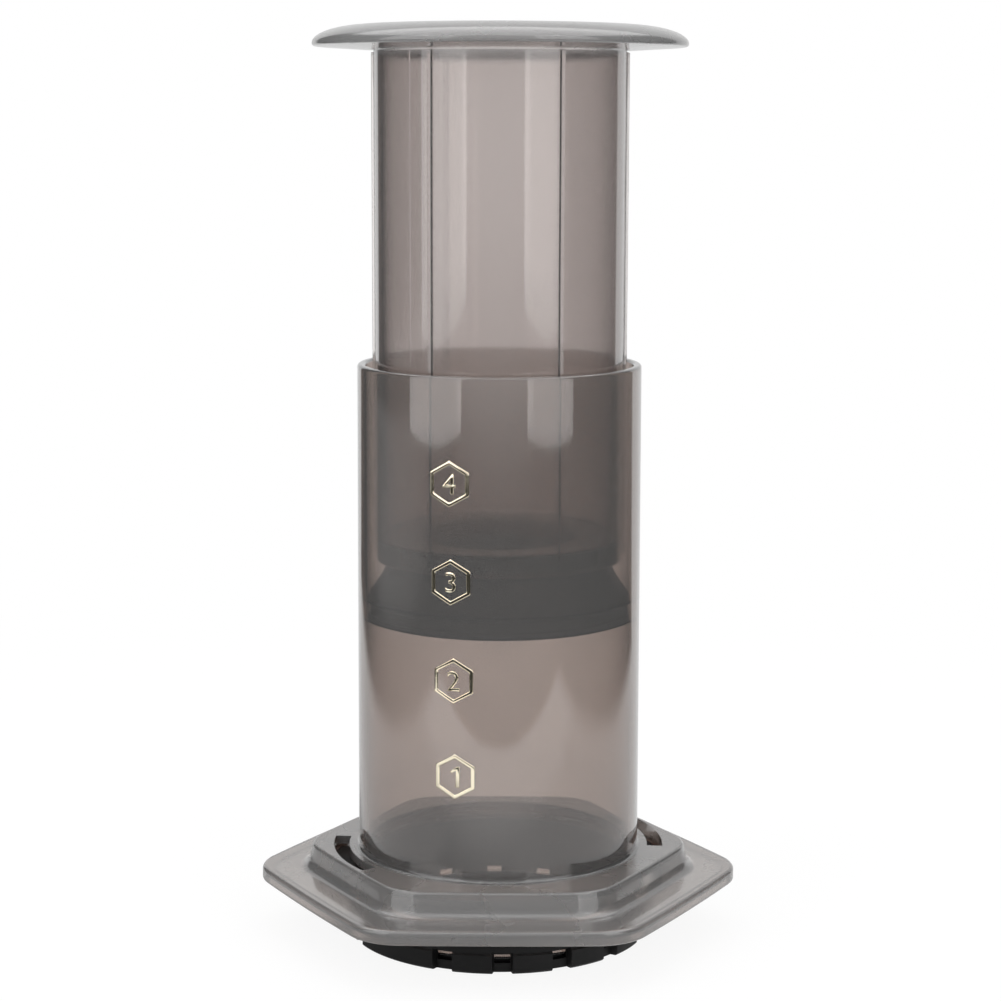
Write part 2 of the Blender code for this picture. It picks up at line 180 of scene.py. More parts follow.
def skin(body, upper, lower):
    """Fills the way between two rings of points with quads, or with triangles at a pole."""
    for step in range(max(len(upper), len(lower))):
        ahead = step + 1
        corners = [upper[step % len(upper)], lower[step % len(lower)],
                   lower[ahead % len(lower)], upper[ahead % len(upper)]]
        body.faces.new(list(dict.fromkeys(corners)))


def from_bmesh(name, body, closed=True):
    """Makes an object of a bmesh; a closed one gets faces that all look outwards."""
    if closed:
        bmesh.ops.recalc_face_normals(body, faces=body.faces)
    mesh = bpy.data.meshes.new(name)
    body.to_mesh(mesh)
    body.free()
    return link(name, mesh)


def turned(name, profile, angles=None, swell=None):
    """Spins a closed profile of (radius, level) points; swell(angle, row) adds to a radius."""
    angles = angles or [2 * math.pi * step / ring_steps for step in range(ring_steps)]
    body = bmesh.new()
    rings = []
    for row, (radius, level) in enumerate(profile):
        if radius <= 0.0:
            rings.append([body.verts.new((0.0, 0.0, level))])
            continue
        reaches = [radius + (swell(angle, row) if swell else 0.0) for angle in angles]
        rings.append([body.verts.new((*around(angle, reach), level))
                      for angle, reach in zip(angles, reaches)])
    for upper, lower in zip(rings, rings[1:] + rings[:1]):
        if len(upper) + len(lower) > 2:
            skin(body, upper, lower)
    return from_bmesh(name, body)


print("a full ring has", ring_steps, "points")

# %% [markdown]
# The flange and the step are six-sided, so they can't be turned. They are lofted instead: the
# same rounded hexagon is drawn again and again at different widths and levels, and skinned.
# Every section has the same number of points, so the skin is clean quads, and a fillet or a
# rolled edge is only a few more sections along an arc.

# %% Loft helpers
corner_steps = 16
side_steps = 14


def hexagon_measures(half_width, corner_radius):
    """How far out the centres of the corners' arcs are, and half a side between two arcs."""
    sharp = half_width / math.cos(twelfth)
    return (sharp - corner_radius / math.cos(twelfth),
            sharp / 2 - corner_radius * math.tan(twelfth))


def hexagon(half_width, corner_radius, bulge):
    """Points of a rounded hexagon with corners on +X and -X and slightly bowed sides.

    A bowed side ends with a small slope, and the corner's arc starts with the same one.
    """
    centre_distance, half_side = hexagon_measures(half_width, corner_radius)
    slope = math.atan(2 * bulge / half_side)
    half_bow = half_side + corner_radius * math.sin(slope)
    bow_ends = half_width - corner_radius * (1 - math.cos(slope))
    half_arc = twelfth - slope
    points = []
    for side in range(6):
        turn = side * sixth
        points += arc(around(turn, centre_distance), corner_radius, turn - half_arc,
                      turn + half_arc, corner_steps)
        for step in range(1, side_steps):
            share = 2 * step / side_steps - 1
            out = bow_ends + half_bow * math.tan(slope) / 2 * (1 - share * share)
            points.append(around(turn + twelfth, out, half_bow * share))
    return points


def lofted(name, sections):
    """Skins a list of (outline, level) sections and closes both ends with a flat face."""
    body = bmesh.new()
    rings = [[body.verts.new((x, y, level)) for x, y in outline] for outline, level in sections]
    for upper, lower in zip(rings, rings[1:]):
        skin(body, upper, lower)
    body.faces.new(rings[0])
    body.faces.new(list(reversed(rings[-1])))
    return from_bmesh(name, body)


def prism(name, outline, low, high):
    """A straight-sided plate between two levels."""
    return lofted(name, [(outline, high), (outline, low)])


print("a hexagon has", 6 * (corner_steps + side_steps), "points")

# %% [markdown]
# Before the finishes, a few helpers. A material in Blender is a tree of nodes, and each wish
# such as a bump or a smooth ramp takes the same few nodes every time. With one function that
# adds a node and feeds it, by plain values or by links, a finish reads like a recipe.

# %% Shader helpers
def feed(tree, shader, values):
    """Feeds a node's inputs: an output of another node is linked, anything else is set."""
    for label, value in values.items():
        if isinstance(value, bpy.types.NodeSocket):
            tree.links.new(value, shader.inputs[label])
        else:
            shader.inputs[label].default_value = value


def node(tree, kind, values, **settings):
    """Adds a shader node with its settings, feeds it and returns its outputs."""
    made = tree.nodes.new("ShaderNode" + kind)
    for key, value in settings.items():
        setattr(made, key, value)
    feed(tree, made, values)
    return made.outputs


def new_finish(name):
    finish = bpy.data.materials.new(name)
    finish.use_nodes = True
    tree = finish.node_tree
    return finish, tree, tree.nodes["Principled BSDF"]


def object_place(tree):
    return node(tree, "TexCoord", {})["Object"]


def bump(tree, height, strength, distance):
    """Turns a height into a bump of a real distance."""
    return node(tree, "Bump", {"Height": height, "Strength": strength,
                               "Distance": distance})["Normal"]


def noise(tree, place, scale, detail=3.0):
    return node(tree, "TexNoise", {"Vector": place, "Scale": scale, "Detail": detail})["Fac"]


def ramp(tree, value, low, high, start, end):
    """Maps a value's stretch from start to end smoothly onto low to high."""
    values = {"Value": value, "From Min": start, "From Max": end, "To Min": low,
              "To Max": high}
    return node(tree, "MapRange", values, interpolation_type="SMOOTHSTEP")["Result"]


def drift(tree, value, low, high):
    """Spreads the part of a noise that is common, 0.3 to 0.7, over low to high."""
    return ramp(tree, value, low, high, 0.3, 0.7)


def calculate(tree, operation, first, *others):
    """Joins sockets or numbers by math nodes, one after the other."""
    for other in others:
        first = node(tree, "Math", {0: first, 1: other}, operation=operation)["Value"]
    return first


def grey(tree, value):
    """A neutral colour of one changing value."""
    return node(tree, "CombineColor", dict.fromkeys(range(3), value))["Color"]


# %% [markdown]
# The smoky plastic is the heart of the picture. It is a glossy moulding resin with a warm grey
# tint. The tint belongs in the volume, because a long way through the wall is darker than a
# short one: absorption takes more blue than red. The straight tubes are clear, but the disc
# and the base are a little milky, as frosted moulds leave them. So outside the tube's edge,
# and above the plunger tube's end, less light goes through, it is blurred by a rough body,
# and a grey shows. The gloss stays sharp all the same, because it comes from a coat.

# %% Smoky plastic
clear_share = 0.935
milky_disc = (0.8, 0.25, 0.9)
milky_base = (0.86, 0.25, 0.84)
milky_fade = 1.5 * MM
plunger_rough = 0.09
chamber_rough = 0.045
patch_scale = 60.0
rough_drift = (0.8, 1.2)
flow_scale = 35.0
flow_bump = (0.12, 0.15 * MM)
tube_end_drop = 7.2 * MM
plunger_tint = (210.0, 255.0, 272.0)
chamber_tint = (240.0, 300.0, 335.0)


def make_smoky_plastic(name, tint, rough, milky, tube_edge, tube_end=None):
    """Smoky plastic that absorbs a tint of (red, green, blue) for each metre of its depth.

    Outside the tube's edge, and above its end if there is one, it turns milky: there its
    clear share, its roughness and its grey are those of milky.
    """
    finish, tree, shader = new_finish(name)
    place = object_place(tree)
    flat = node(tree, "VectorMath", {0: place, 1: (1.0, 1.0, 0.0)}, operation="MULTIPLY")
    out = node(tree, "VectorMath", {0: flat["Vector"]}, operation="LENGTH")["Value"]
    if tube_end:
        height = node(tree, "SeparateXYZ", {"Vector": place})["Z"]
        out = calculate(tree, "MAXIMUM", out,
                        calculate(tree, "ADD", height, tube_edge - tube_end))
    share, roughness, body = (
        ramp(tree, out, clear, cloudy, tube_edge, tube_edge + milky_fade)
        for clear, cloudy in zip((clear_share, rough, 1.0), milky))
    uneven = drift(tree, noise(tree, place, patch_scale), *rough_drift)
    flow = bump(tree, noise(tree, place, flow_scale, 1.0), *flow_bump)
    feed(tree, shader, {"Transmission Weight": share, "Base Color": grey(tree, body),
                        "Roughness": calculate(tree, "MULTIPLY", roughness, uneven),
                        "IOR": 1.5, "Coat Weight": 1.0, "Coat Roughness": 0.04,
                        "Normal": flow, "Coat Normal": flow})
    density = max(tint)
    left_over = [1 - depth / density for depth in tint] + [1.0]
    smoke = node(tree, "VolumeAbsorption", {"Density": density, "Color": left_over})
    feed(tree, tree.nodes["Material Output"], {"Volume": smoke["Volume"]})
    return finish


plunger_plastic = make_smoky_plastic("smoky_plastic_plunger", plunger_tint, plunger_rough,
                                     milky_disc, rib_reach, plunger_high.z - tube_end_drop)
chamber_plastic = make_smoky_plastic("smoky_plastic_chamber", chamber_tint, chamber_rough,
                                     milky_base, foot_radius)
print("tints for each metre of depth:", plunger_tint, chamber_tint)

# %% [markdown]
# The plug is smooth silicone rubber: black, soft in its shine and never quite clean. The cap
# is a harder black plastic with the fine grain that a spark-eroded mould leaves. Both are
# simple shaders, so their life comes from small changes in roughness and from bump at the
# right scale, a few tenths of a millimetre. One recipe makes both, and the gold foil too.

# %% Black rubber and black plastic
def make_grained(name, values, patches, rough, grain, height):
    """An opaque finish whose roughness drifts in patches and whose grain is a small bump.

    Patches and grain are the scale and detail of a noise, rough is a range, and height is
    the strength and the distance of the bump.
    """
    finish, tree, shader = new_finish(name)
    place = object_place(tree)
    feed(tree, shader, {**values,
                        "Roughness": drift(tree, noise(tree, place, *patches), *rough),
                        "Normal": bump(tree, noise(tree, place, *grain), *height)})
    print(name, "has a roughness of", rough[0], "to", rough[1])
    return finish


black_rubber = make_grained(
    "black_rubber", {"Base Color": (0.035, 0.035, 0.036, 1.0), "Specular IOR Level": 0.45},
    patches=(90.0, 5.0), rough=(0.42, 0.6), grain=(2500.0, 4.0), height=(0.12, 0.03 * MM))
black_plastic = make_grained(
    "black_plastic", {"Base Color": (0.0105, 0.0105, 0.011, 1.0), "Specular IOR Level": 0.25},
    patches=(120.0, 6.0), rough=(0.42, 0.56), grain=(3500.0, 3.0), height=(0.45, 0.04 * MM))

# %% [markdown]
# The filter is a woven steel mesh, far too fine to model thread by thread. Two wave textures
# at right angles, multiplied, make the over-and-under of the weave as bump and as painted
# shade and light in the colour, darker where the threads dip under and lighter where they
# cross. The disc itself stays a thin round plate. Real mesh mirrors nothing whole, so the
# finish is rough and only partly metal.

# %% Steel mesh
weave_pitch = 0.5 * MM
wave_length = 0.314
thread_shadow = (0.05, 0.05, 0.05, 1.0)
thread_light = (0.17, 0.17, 0.175, 1.0)
weave_bump = (0.6, 0.08 * MM)


def make_steel_mesh():
    finish, tree, shader = new_finish("steel_mesh")
    place = object_place(tree)
    threads = [node(tree, "TexWave", {"Scale": wave_length / weave_pitch, "Vector": place},
                    wave_type="BANDS", bands_direction=direction)["Fac"] for direction in "XY"]
    cross = calculate(tree, "MULTIPLY", *threads)
    # Painted shade and light of the weave: dark where the threads dip under, light where they
    # cross
    shade = node(tree, "Mix", {"Factor": cross, "A": thread_shadow, "B": thread_light},
                 data_type="RGBA")
    feed(tree, shader, {"Base Color": shade["Result"], "Metallic": 0.6, "Roughness": 0.65,
                        "Normal": bump(tree, cross, *weave_bump)})
    return finish


steel_mesh = make_steel_mesh()
print("the weave repeats every", weave_pitch / MM, "mm")

# %% [markdown]
# The figures on the tube are stamped foil: real metal, pale gold, with a flat face and a tiny
# bevel. A metallic shader does it, and a little noise in the roughness keeps it from looking
# like a computer's gold. What the foil shows is mostly what stands round it, so the stage
# matters as much as the shader.

# %% Gold foil
gold_foil = make_grained(
    "gold_foil", {"Base Color": (0.97, 0.885, 0.69, 1.0), "Metallic": 1.0},
    patches=(400.0, 4.0), rough=(0.05, 0.11), grain=(1500.0, 2.0), height=(0.2, 0.02 * MM))

# %% [markdown]
# The chamber is one moulding, but we make it in several moves. First the base: flange, step
# and the hollow below them, lofted from hexagons. The sections run over the outside from the
# top of the step to the flange's rolled rim and back up the underside, exactly as a pencil
# would trace the cut section. The fillet at the step's foot is wide, because that soft bend
# catches the lamps as two bright bands.

# %% Base of the chamber
step_draft = 0.5 * MM
step_round = 0.8 * MM
step_fillet = 2.6 * MM
flange_round = 0.9 * MM
under_round = 0.5 * MM
rim_lip = 2.6 * MM
flange_plate = 2.0 * MM
side_wall = 1.5 * MM
mould_draft = 0.2 * MM
step_half_width = 39.4 * MM
step_corner = 13.0 * MM
step_bulge = 0.3 * MM
step_shape = (step_half_width, step_corner, step_bulge)
flange_half_width = 49.6 * MM
flange_shape = (flange_half_width, 13.2 * MM, 0.36 * MM)


def make_base():
    """Step and flange as one loft, hollow below, before the slots and the bore are cut."""
    lip = flange_half_width - rim_lip
    trough = flange_top - flange_plate
    inner = step_half_width - side_wall
    outside = rounded(step_half_width, step_top, step_round, quarter, 0.0, 8)
    outside += rounded(step_half_width + step_draft, flange_top, step_fillet,
                       2 * quarter, 3 * quarter, 8)
    rolled = rounded(flange_half_width, flange_top, flange_round, quarter, 0.0, 8)
    rolled += rounded(flange_half_width, flange_low, under_round, 0.0, -quarter, 5)
    rolled += [(lip, flange_low), (lip - mould_draft, trough)]
    hollow = [(step_half_width + mould_draft, trough), (step_half_width, flange_low),
              (inner, flange_low), (inner, step_top - step_plate)]
    sections = []
    for shape, trace in ((step_shape, outside), (flange_shape, rolled), (step_shape, hollow)):
        half_width, corner, bulge = shape
        sections += [(hexagon(x, corner - (half_width - x), bulge), z) for x, z in trace]
    return lofted("base", sections)


base = make_base()
print("base loft has", len(base.data.polygons), "faces")

# %% [markdown]
# Next the bayonet. Two long slots go through the top of the step, and below each slot a hook
# stands in from the side wall, with a stop at its end. The slots are there because the
# mould's pins came through them to form the hooks. We cut and join with thin solid tools and
# the boolean modifier, which keeps the walls where the real ones are.

# %% Cutting helpers
def applied(obj):
    """Replaces an object's mesh by what its modifiers make of it."""
    bpy.context.view_layer.update()
    evaluated = obj.evaluated_get(bpy.context.evaluated_depsgraph_get())
    mesh = bpy.data.meshes.new_from_object(evaluated)
    obj.modifiers.clear()
    obj.data = mesh


def boolean(obj, tool, operation):
    """Joins a tool to a piece, or cuts it out, and removes the tool."""
    change = obj.modifiers.new(tool.name, "BOOLEAN")
    change.operation = operation
    change.solver = "MANIFOLD"
    change.object = tool
    applied(obj)
    bpy.data.objects.remove(tool, do_unlink=True)


def circle(centre, radius, count):
    return arc(centre, radius, 0.0, 2 * math.pi, count)[:-1]


def ring_piece(inner, outer, start, span, steps=40):
    """Outline of a piece of a ring."""
    return (arc((0.0, 0.0), outer, start, start + span, steps)
            + arc((0.0, 0.0), inner, start + span, start, steps))


def hexagon_reach(angle, half_width, corner_radius):
    """Distance from the axis to the outline of a rounded hexagon, at an angle."""
    turn = (angle + twelfth) % sixth - twelfth
    from_middle = twelfth - abs(turn)
    centre_distance, half_side = hexagon_measures(half_width, corner_radius)
    if half_width * math.tan(from_middle) < half_side:
        return half_width / math.cos(from_middle)
    offset = centre_distance * math.sin(turn)
    return centre_distance * math.cos(turn) + math.sqrt(corner_radius ** 2 - offset ** 2)


def wall_piece(inner, start, span, steps=40):
    """Outline of a hook or a stop: from an inner radius out into the step's side wall."""
    points = []
    for index in range(steps + 1):
        angle = start + span * index / steps
        reach = hexagon_reach(angle, step_half_width + step_draft - side_wall / 2,
                              step_corner - side_wall / 2)
        points.append(around(angle, reach))
    return points + arc((0.0, 0.0), inner, start + span, start, steps)


# %% [markdown]
# With these tools the base gets its round pocket, its slots and its bore. The hooks and stops
# are worked out from the same angles as the cap's lugs, so that the lugs fit under them.

# %% Slots and hooks
slot_inner = 34.8 * MM
slot_outer = 38.4 * MM
slot_start = math.radians(-5.7)
slot_span = math.radians(43.0)
pocket_radius = slot_outer + gap
hook_inner = band_radius + gap
hook_top = flange_low + 1.9 * MM
lug_low = hook_top + gap
lug_high = lug_low + 2.5 * MM
lug_start = math.radians(-14.0)
lug_span = math.radians(42.0)
stop_lead = math.radians(0.8)
stop_span = math.radians(3.0)
stop_root = 0.9 * MM
slot_bite = 0.2 * MM


def cut_base():
    """Cuts the round pocket, the slots and the bore, and adds the hooks and their stops."""
    ceiling = step_top - step_plate
    boolean(base, prism("pocket", circle((0.0, 0.0), pocket_radius, ring_steps),
                        flange_low - overrun, ceiling), "DIFFERENCE")
    for turn in (0.0, math.pi):
        slot = ring_piece(slot_inner, slot_outer, slot_start + turn, slot_span)
        boolean(base, prism("slot", slot, ceiling - slot_bite, step_top + overrun),
                "DIFFERENCE")
        hook = wall_piece(hook_inner, slot_start + turn, slot_span)
        boolean(base, prism("hook", hook, flange_low + gap, hook_top), "UNION")
        stop = wall_piece(hook_inner + gap, lug_start + lug_span + stop_lead + turn, stop_span)
        boolean(base, prism("stop", stop, hook_top - stop_root, lug_high), "UNION")
    boolean(base, prism("bore", circle((0.0, 0.0), bore_radius + wall / 2, ring_steps),
                        flange_low - overrun, step_top + overrun), "DIFFERENCE")


cut_base()
print("base with its bayonet has", len(base.data.polygons), "faces")

# %% [markdown]
# The tube is plain: a turned wall that widens by a quarter of a millimetre on its way down, so
# that it leaves its mould. A small fillet takes it into the step's top. The real moulding also
# has a fine raised line across the front of its step, where the halves of the mould met. We
# draw that line's side view as a thin prism and tip it upright.

# %% Tube and mould line
rim_round = 0.7 * MM
foot_fillet = 0.8 * MM
fillet_sunk = 0.02 * MM
ridge_place = -3.8 * MM
ridge_width = 0.3 * MM
ridge_height = 0.13 * MM
ridge_bite = 0.5 * MM
ridge_depth = 0.6 * MM


def make_tube():
    """The chamber's wall, from its neck inside the cap up to the rounded rim."""
    buried = step_top - step_plate / 2
    profile = rounded(bore_radius, rim_level, rim_round, 2 * quarter, quarter, 6)
    profile += rounded(rim_radius, rim_level, rim_round, quarter, 0.0, 6)
    profile += rounded(foot_radius, step_top - fillet_sunk, foot_fillet,
                       2 * quarter, 3 * quarter, 7)
    profile += [(foot_radius + foot_fillet, buried), (foot_radius, buried),
                (foot_radius, tube_foot), (bore_radius, tube_foot)]
    return turned("tube", profile)


def mould_line():
    """A low ridge over the step's front, bitten into the plastic, with a rise at the tube."""
    over = step_top + ridge_height
    front = -step_half_width - step_bulge - ridge_height
    side_foot = flange_top + step_fillet
    section = [(-foot_radius, step_top - ridge_bite), (-foot_radius, over + ridge_bite),
               (-foot_radius - ridge_bite, over)]
    section += rounded(front, over, step_round, quarter, 2 * quarter, 3)
    section += [(front - step_draft, side_foot), (front + ridge_depth, side_foot),
                (front + 2 * ridge_depth, step_top - ridge_bite)]
    ridge = prism("ridge", section, ridge_place - ridge_width / 2,
                  ridge_place + ridge_width / 2)
    for vertex in ridge.data.vertices:
        along, up, across = vertex.co
        vertex.co = (across, along, up)
    return ridge


chamber = make_tube()
boolean(chamber, base, "UNION")
boolean(chamber, mould_line(), "UNION")
print("the chamber in one has", len(chamber.data.polygons), "faces")

# %% [markdown]
# A piece is done when it is shaded, named, dressed and told what it belongs to. Round faces
# are shaded smooth and real edges stay sharp. On the flat-sided pieces a weighted normal
# modifier also keeps flat faces truly flat.

# %% Dress the chamber
def smooth(obj, degrees=30, weighted=True):
    """Shades round faces smooth, keeps real edges sharp and flat faces truly flat."""
    obj.data.shade_smooth()
    obj.data.set_sharp_from_angle(angle=math.radians(degrees))
    if weighted:
        normals = obj.modifiers.new("even_normals", "WEIGHTED_NORMAL")
        normals.keep_sharp = True


def dress(obj, name, finish, body):
    """Names a piece, gives it its finish, and lets it ride on a body."""
    obj.name = name
    obj.data.name = name
    obj.data.materials.clear()
    obj.data.materials.append(finish)
    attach(obj, body)
    print(name, "has", len(obj.data.polygons), "faces")


smooth(chamber)
dress(chamber, "chamber_shell", chamber_plastic, "chamber")
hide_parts("chamber")

# %% [markdown]
# Six ribs run the whole length of the plunger and centre it in the bore. They come out of the
# turning itself: near a rib the angles are close together, and the swell function lifts the
# outside there. A last thin line, the seam of the mould, is made in the same way. The ribs
# stand two degrees round from the working model's, as the photograph shows them.

# %% Ribs and seam
rib_count = 6
rib_pitch = 2 * math.pi / rib_count
rib_turn = math.radians(-2.0)
rib_half_width = 0.42 * MM
rib_flank = 0.16 * MM
rib_height = 0.7 * MM
tube_radius = rib_reach - rib_height
seam_angle = math.radians(-134.0)
seam_height = 0.07 * MM
seam_half_width = 0.3 * MM
fine_steps = 28
coarse_steps = 36
seam_steps = 12
rib_spread = 2.2
seam_spread = 1.3


def smoothstep(value):
    share = min(max(value, 0.0), 1.0)
    return share * share * (3 - 2 * share)


def rib_angles():
    """Angles round the plunger, closer together at the ribs and at the seam."""
    angles = []
    reach = rib_spread * (rib_half_width + rib_flank) / tube_radius
    rest = rib_pitch - 2 * reach
    for index in range(rib_count):
        middle = rib_turn + index * rib_pitch
        angles += [middle - reach + 2 * reach * each / fine_steps for each in range(fine_steps)]
        angles += [middle + reach + rest * each / coarse_steps for each in range(coarse_steps)]
    angles = [angle % (2 * math.pi) for angle in angles]
    seam = seam_angle % (2 * math.pi)
    reach = seam_spread * seam_half_width / tube_radius
    angles = [angle for angle in angles if abs(angle - seam) > reach]
    return sorted(angles + [seam + reach * (2 * each / seam_steps - 1)
                            for each in range(seam_steps + 1)])


def rib_swell(angle):
    """Height of the rib at an angle, with sloping flanks, and of the mould's thin seam."""
    off = abs((angle - rib_turn + rib_pitch / 2) % rib_pitch - rib_pitch / 2) * tube_radius
    rib = rib_height * smoothstep((rib_half_width + rib_flank - off) / rib_flank)
    aside = abs((angle - seam_angle + math.pi) % (2 * math.pi) - math.pi) * tube_radius
    return rib + seam_height * smoothstep(1 - aside / seam_half_width)


print("the plunger's rings have", len(rib_angles()), "points")

# %% [markdown]
# The plunger is an open cup with a broad domed disc, in the same smoky plastic. Its profile
# starts at the mouth, goes over the dome to the disc's thin lip, back under it, down the
# ribbed tube to the stem and the knob that carry the seal, and up again inside. Only the two
# rings at the ends of the ribbed tube swell.

# %% Plunger
disc_radius = plunger_high.x
disc_crown = 4.05 * MM
disc_flat = 29.5 * MM
disc_lip = 0.65 * MM
disc_mouth = 2.4 * MM
disc_dish = 0.75 * MM
dome_steps = 40
tube_bore = tube_radius - wall
tube_low = plunger_low.z + 9.7 * MM
floor_level = tube_low + 4.4 * MM
knob_top = plunger_low.z + 3.4 * MM
knob_radius = 22.4 * MM
stem_radius = 19.5 * MM
stem_wall = 2.0 * MM
neck_fillet = 0.5 * MM
end_round = 0.6 * MM
floor_fillet = 1.0 * MM


def make_plunger():
    crest = plunger_high.z
    low = plunger_low.z
    widest = crest - disc_crown
    profile = rounded(tube_bore, crest, disc_mouth, 2 * quarter, quarter, 14)
    for index in range(dome_steps + 1):
        turn = quarter * index / dome_steps
        profile.append((disc_flat + (disc_radius - disc_flat) * math.sin(turn),
                        widest + disc_crown * math.cos(turn)))
    profile += arc((disc_radius - disc_lip, widest), disc_lip, 0.0, -quarter, 8)[1:]
    profile += rounded(tube_radius, widest - disc_lip - disc_dish, neck_fillet,
                       quarter, 2 * quarter, 5)
    ribbed_rows = (len(profile) - 1, len(profile))
    profile.append((tube_radius, tube_low + 2 * end_round))
    profile += rounded(tube_radius, tube_low, end_round, 0.0, -quarter, 6)
    profile += [(stem_radius, tube_low), (stem_radius, knob_top + knob_radius - stem_radius),
                (knob_radius, knob_top), (knob_radius, low), (0.0, low),
                (0.0, low + stem_wall), (stem_radius - stem_wall, low + stem_wall),
                (stem_radius - stem_wall, floor_level)]
    profile += rounded(tube_bore, floor_level, floor_fillet, -quarter, 0.0, 5)

    def swell(angle, row):
        return rib_swell(angle) if row in ribbed_rows else 0.0

    return turned("plunger_body", profile, rib_angles(), swell)


plunger = make_plunger()
smooth(plunger, 35, weighted=False)
dress(plunger, "plunger_shell", plunger_plastic, "plunger")
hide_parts("plunger")

# %% [markdown]
# The rubber plug flares from a narrow neck into a band that wipes the bore, with two shallow
# lips and a groove between them. It is turned as well, with its cavity for the plunger's knob,
# because that cavity shows through the clear plastic from above. The lips reach a fiftieth of
# a millimetre into the tube: a film of air between them would shine like a mirror.

# %% Seal
seal_radius = seal_high.x
band_height = 5.7 * MM
flare_height = 6.0 * MM
flare_steps = 14
flare_power = 1.3
seal_body = 26.1 * MM
seal_round = 1.5 * MM
lip_height = 1.2 * MM
groove_depth = 0.5 * MM
lip_crest = 0.4 * MM
lip_press = 0.02 * MM


def make_seal():
    mouth = stem_radius + gap
    cavity = knob_radius + gap
    low = seal_low.z
    band_top = low + band_height
    floor = plunger_low.z - gap
    profile = [(mouth, seal_high.z)]
    profile += rounded(seal_body, seal_high.z, seal_round, quarter, 0.0, 8)
    for index in range(1, flare_steps + 1):
        share = index / flare_steps
        profile.append((seal_body + (seal_radius - seal_body) * share ** flare_power,
                        band_top + flare_height * (1 - share)))
    groove = seal_radius - groove_depth
    pressed = bore_radius + lip_press
    profile += [(pressed, band_top - lip_crest), (pressed, band_top - 2 * lip_crest)]
    profile += arc((groove, band_top - lip_height), groove_depth, 0.0, -quarter, 5)
    profile += arc((groove, low + lip_height), groove_depth, quarter, 0.0, 5)
    profile += [(pressed, low + 2 * lip_crest), (pressed, low + lip_crest)]
    profile += arc((groove - lip_crest, low + groove_depth), groove_depth, 0.0, -quarter, 5)
    profile += [(0.0, low), (0.0, floor), (cavity, floor), (cavity, knob_top + gap),
                (mouth, knob_top + gap + cavity - mouth)]
    return turned("seal_body", profile)


seal = make_seal()
smooth(seal, 35, weighted=False)
dress(seal, "seal_rubber", black_rubber, "seal")
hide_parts("seal")

# %% [markdown]
# The cap's grips are wide lumps with narrow notches between them, sixteen to the turn, less
# one on each side where two lumps run together. The notches come from the same swell trick as
# the ribs, pushed inwards, with the angles closer together at each notch's flanks.

# %% Notches of the cap
notch_count = 16
notch_pitch = 2 * math.pi / notch_count
notch_phase = math.radians(1.7)
wide_grips = (10, 2)
notch_width = 4.35 * MM
notch_edge = 0.35 * MM
grip_radius = band_radius + 0.4 * MM
flank_steps = 8
grip_steps = 14
floor_steps = 6


def notch_share(angle):
    """1 in the middle of a notch, 0 on a grip, with a short rounded flank."""
    if round((angle - notch_phase) / notch_pitch) % notch_count in wide_grips:
        return 0.0
    off = (angle - notch_phase + notch_pitch / 2) % notch_pitch - notch_pitch / 2
    return smoothstep((notch_width / 2 + notch_edge / 2 - abs(off) * grip_radius) / notch_edge)


def cap_angles():
    """Angles round the cap, closer together at the notches' flanks."""
    angles = []
    flank = notch_width / 2 / grip_radius
    reach = notch_edge / grip_radius
    between = notch_pitch - 2 * flank - 2 * reach
    inside = 2 * flank - 2 * reach
    for index in range(notch_count):
        middle = notch_phase + index * notch_pitch
        for centre in (middle - flank, middle + flank):
            angles += [centre - reach + 2 * reach * each / flank_steps
                       for each in range(flank_steps + 1)]
        angles += [middle + flank + reach + between * each / grip_steps
                   for each in range(1, grip_steps)]
        angles += [middle - flank + reach + inside * each / floor_steps
                   for each in range(1, floor_steps)]
    return sorted(angles)


print("the cap's rings have", len(cap_angles()), "points")

# %% [markdown]
# The cap's body is turned too: a thin band that the bayonet grips, the grips below it, a foot
# ring to stand on and a plate raised a little above it. The plate stays a hair under the
# mesh, so that the two never share a surface.

# %% Body of the cap
notch_depth = 1.8 * MM
grip_height = 4.6 * MM
grip_slope = 0.4 * MM
grip_chamfer = 0.5 * MM
shelf = 0.25 * MM
plate_raise = 0.8 * MM
plate_top = mesh_low.z - gap
cap_foot_inner = band_radius - 3.2 * MM


def make_cap():
    profile = [(cap_bore, cap_high.z)]
    profile += rounded(band_radius, cap_high.z, grip_slope, quarter, 0.0, 4)
    profile += [(band_radius, grip_height + grip_slope), (band_radius, grip_height + shelf)]
    first_notched = len(profile)
    profile += [(band_radius, grip_height), (grip_radius, grip_height - grip_slope),
                (grip_radius, grip_chamfer), (grip_radius - grip_chamfer, 0.0)]
    notched_rows = range(first_notched, len(profile))
    profile += [(cap_foot_inner, 0.0), (cap_foot_inner, plate_raise), (0.0, plate_raise),
                (0.0, plate_top), (cap_bore, plate_top)]
    floor_radius = grip_radius - notch_depth

    def swell(angle, row):
        if row in notched_rows:
            return (floor_radius - profile[row][0]) * notch_share(angle)
        return 0.0

    return turned("cap_body", profile, cap_angles(), swell)


cap = make_cap()
print("cap body has", len(cap.data.polygons), "faces")

# %% [markdown]
# Two lugs are joined on, one small drain window goes through the wall in each notch, and the
# plate gets its holes, one in the middle and four rings round it. A boolean takes all the
# windows, or all the holes, as one tool, which is far quicker than one cut after another.

# %% Lugs, windows and holes
lug_root = 0.9 * MM
lug_play = 0.2 * MM
window_width = 3.6 * MM
window_depth = 0.35 * MM
window_lintel = 0.5 * MM
hole_radius = 1.5 * MM
hole_pitch = 6.4 * MM
hole_rings = 4
hole_sides = 24


def joined(name, pieces):
    """Joins separate meshes into one object without merging them."""
    body = bmesh.new()
    for piece in pieces:
        body.from_mesh(piece.data)
        bpy.data.objects.remove(piece, do_unlink=True)
    return from_bmesh(name, body, closed=False)


def radial_box(inner, outer, width, angle):
    corners = ((inner, -width / 2), (outer, -width / 2), (outer, width / 2),
               (inner, width / 2))
    return [around(angle, *corner) for corner in corners]


